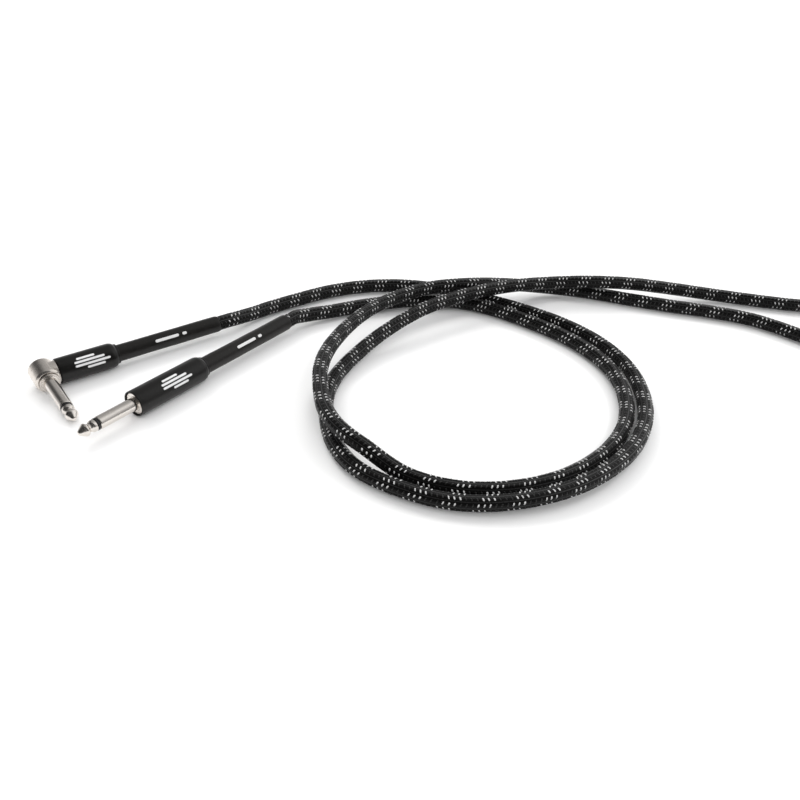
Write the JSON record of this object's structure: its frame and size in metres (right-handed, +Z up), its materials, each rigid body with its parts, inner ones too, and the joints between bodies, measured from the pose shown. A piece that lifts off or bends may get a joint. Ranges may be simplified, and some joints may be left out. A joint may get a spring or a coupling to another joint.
{
  "type": "instrument cable",
  "caption": "Coiled woven-jacket instrument cable with a straight and a right-angle 6.35 mm mono plug, slim black unscrewing shells and long boots.",
  "frame": {"origin": "on the floor at the middle of the footprint", "axes": "+X from the plugs towards the far bend of the coil, +Y away from the viewer, +Z up"},
  "size_m": [0.5156, 0.2186, 0.0182],
  "materials": {
    "nickel": "polished nickel plate",
    "cast_nickel": "nickel plate over a die casting",
    "tinned_steel": "tinned strip",
    "copper": "bare copper strands",
    "black_shell": "satin black",
    "boot": "satin heat-shrink tube",
    "insulator": "moulded black",
    "liner": "smooth",
    "woven_jacket": "woven black yarn with rows of white flecks",
    "inner_jacket": "matt PVC",
    "core_insulation": "natural polyethylene"
  },
  "bodies": {
    "coil": {"loop_braid": "woven_jacket", "loop_core": "inner_jacket"},
    "angled_lead": {"angled_lead_braid": "woven_jacket", "angled_lead_core": "inner_jacket"},
    "angled_plug": {"angled_tip": "nickel", "angled_tip_ring": "insulator", "angled_shaft": "nickel", "angled_rear_washer": "insulator", "angled_elbow": "cast_nickel", "angled_back_cap": "cast_nickel", "angled_tip_lug": "tinned_steel", "angled_ground_clamp": "tinned_steel", "angled_wire": "copper", "angled_dielectric": "core_insulation", "angled_shield_tail": "copper", "angled_jacket": "inner_jacket", "angled_braid": "woven_jacket", "angled_boot": "boot"},
    "angled_sleeve": {"angled_liner": "liner"},
    "angled_shell": {"angled_barrel": "black_shell"},
    "straight_lead": {"straight_lead_braid": "woven_jacket", "straight_lead_core": "inner_jacket"},
    "straight_plug": {"straight_tip": "nickel", "straight_tip_ring": "insulator", "straight_shaft": "nickel", "straight_rear_washer": "insulator", "straight_tip_lug": "tinned_steel", "straight_ground_clamp": "tinned_steel", "straight_wire": "copper", "straight_dielectric": "core_insulation", "straight_shield_tail": "copper", "straight_jacket": "inner_jacket", "straight_braid": "woven_jacket", "straight_boot": "boot"},
    "straight_sleeve": {"straight_liner": "liner"},
    "straight_shell": {"straight_barrel": "black_shell"}
  },
  "joints": [
    {"name": "angled_lead_swing", "type": "hinge", "parent": "coil", "child": "angled_lead", "pos_m": [-0.12393, 0.07435, 0.00458], "axis": [0, 0, 1], "range_deg": [-30, 0]},
    {"name": "angled_plug_lift", "type": "hinge", "parent": "angled_lead", "child": "angled_plug", "pos_m": [-0.17521, 0.02669, 0.00698], "axis": [-0.6521, 0.7581, 0], "range_deg": [0, 30]},
    {"name": "angled_shell_slide", "type": "slide", "parent": "angled_plug", "child": "angled_sleeve", "axis": [0.7581, 0.6521, 0], "range_m": [0, 0.034]},
    {"name": "angled_shell_turn", "type": "hinge", "parent": "angled_sleeve", "child": "angled_shell", "pos_m": [-0.23123, -0.0215, 0.00698], "axis": [0.7581, 0.6521, 0], "continuous": true},
    {"name": "straight_lead_swing", "type": "hinge", "parent": "coil", "child": "straight_lead", "pos_m": [-0.11943, 0.04985, 0.00488], "axis": [0, 0, 1], "range_deg": [0, 20]},
    {"name": "straight_plug_lift", "type": "hinge", "parent": "straight_lead", "child": "straight_plug", "pos_m": [-0.13977, 0.03463, 0.00698], "axis": [-0.83, 0.5577, 0], "range_deg": [0, 30]},
    {"name": "straight_shell_slide", "type": "slide", "parent": "straight_plug", "child": "straight_sleeve", "axis": [0.5577, 0.83, 0], "range_m": [0, 0.04]},
    {"name": "straight_shell_turn", "type": "hinge", "parent": "straight_sleeve", "child": "straight_shell", "pos_m": [-0.18684, -0.03543, 0.00698], "axis": [0.5577, 0.83, 0], "continuous": true}
  ]
}
